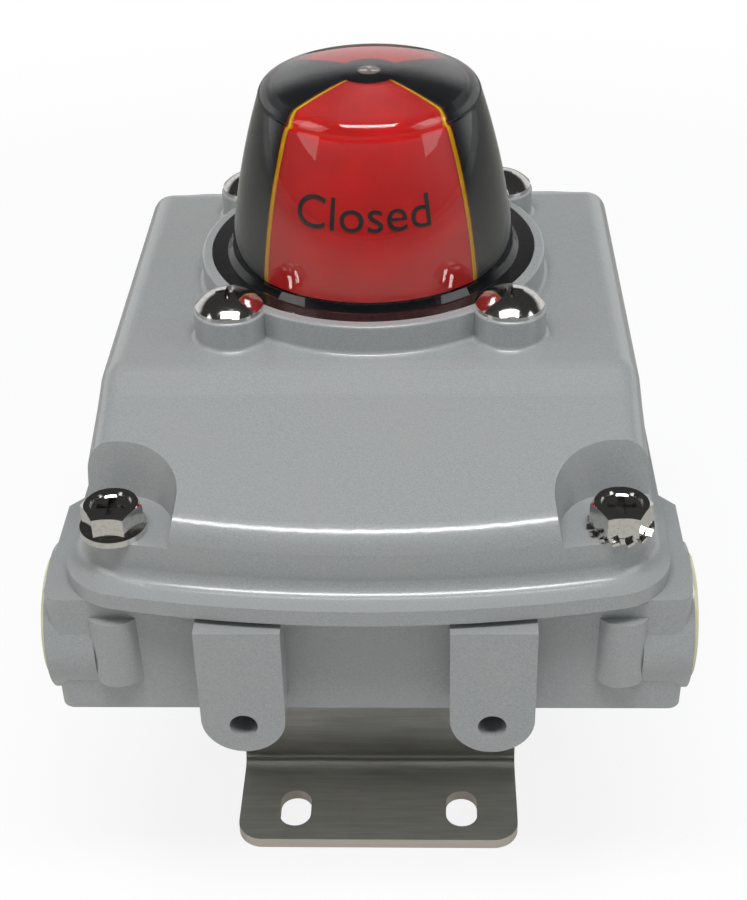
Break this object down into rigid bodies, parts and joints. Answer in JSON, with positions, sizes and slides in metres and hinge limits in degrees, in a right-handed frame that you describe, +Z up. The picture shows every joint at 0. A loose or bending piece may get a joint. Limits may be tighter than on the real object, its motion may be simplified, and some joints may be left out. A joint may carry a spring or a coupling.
{
  "type": "valve limit switch box",
  "caption": "Die-cast position-indicator box with a clear domed beacon, internal position sensors and terminals, on a folded bracket for quarter-turn valve actuators.",
  "frame": {"origin": "where the drive shaft's axis meets the plane of the bracket's feet, at the centre of the 80 x 30 fixing pattern", "axes": "+Z up the drive shaft towards the dome, -Y towards the front with the lugs, +X to the right seen from the front"},
  "size_m": [0.101, 0.123, 0.127],
  "materials": {
    "powder_coat": "satin powder coat with a fine orange peel",
    "stainless_sheet": "satin stainless sheet",
    "stainless_polished": "polished stainless",
    "steel_plain": "plain machined steel",
    "clear_dome": "clear polycarbonate, glossy",
    "black_plastic": "black moulded plastic",
    "black_seal": "black rubber",
    "red_panel": "red foil",
    "yellow_panel": "yellow foil",
    "cream_plastic": "cream moulded plastic",
    "bush_plastic": "natural bearing plastic",
    "cam_plastic_red": "red moulded plastic",
    "cam_plastic_green": "green moulded plastic",
    "sensor_blue": "blue moulded plastic",
    "circuit_board": "green solder resist",
    "terminal_green": "green moulded plastic",
    "brass_plain": "plain brass",
    "aluminium_sheet": "plain aluminium sheet"
  },
  "bodies": {
    "housing": {"base_housing": "powder_coat", "cover": "powder_coat", "cover_gasket": "black_seal", "cover_bolts": "stainless_polished", "bolt_washers": "stainless_polished", "tooth_lock_washer": "stainless_polished", "dome": "clear_dome", "dome_seal": "black_seal", "dome_screws": "stainless_polished", "indicator_mask": "black_plastic", "mounting_bracket": "stainless_sheet", "bracket_bolts": "stainless_polished", "bracket_washers": "stainless_polished", "lower_bush": "bush_plastic", "upper_bush": "bush_plastic", "thrust_washer": "bush_plastic", "lower_shaft_seal": "black_seal", "upper_shaft_seal": "black_seal", "sensor_plate": "aluminium_sheet", "plate_screws": "steel_plain", "lower_sensor": "sensor_blue", "upper_sensor": "sensor_blue", "sensor_spacer": "aluminium_sheet", "sensor_screws": "steel_plain", "terminal_board": "circuit_board", "board_screws": "steel_plain", "terminal_strip": "terminal_green", "terminal_screws": "steel_plain", "earth_screw": "brass_plain"},
    "spindle": {"drive_shaft": "steel_plain", "retaining_ring": "steel_plain", "lower_cam": "cam_plastic_red", "upper_cam": "cam_plastic_green", "lower_cam_target": "steel_plain", "upper_cam_target": "steel_plain", "cam_spring": "steel_plain", "indicator_rotor": "black_plastic", "red_panels": "red_panel", "yellow_panels": "yellow_panel", "rotor_screw": "steel_plain"},
    "left_plug": {"port_plug_left": "cream_plastic"},
    "right_plug": {"port_plug_right": "cream_plastic"}
  },
  "joints": [
    {"name": "shaft_turn", "type": "hinge", "parent": "housing", "child": "spindle", "pos_m": [0, 0, 0], "axis": [0, 0, 1], "range_deg": [0, 90]},
    {"name": "left_plug_pull", "type": "slide", "parent": "housing", "child": "left_plug", "axis": [-1, 0, 0], "range_m": [0, 0.025]},
    {"name": "right_plug_pull", "type": "slide", "parent": "housing", "child": "right_plug", "axis": [1, 0, 0], "range_m": [0, 0.025]}
  ]
}
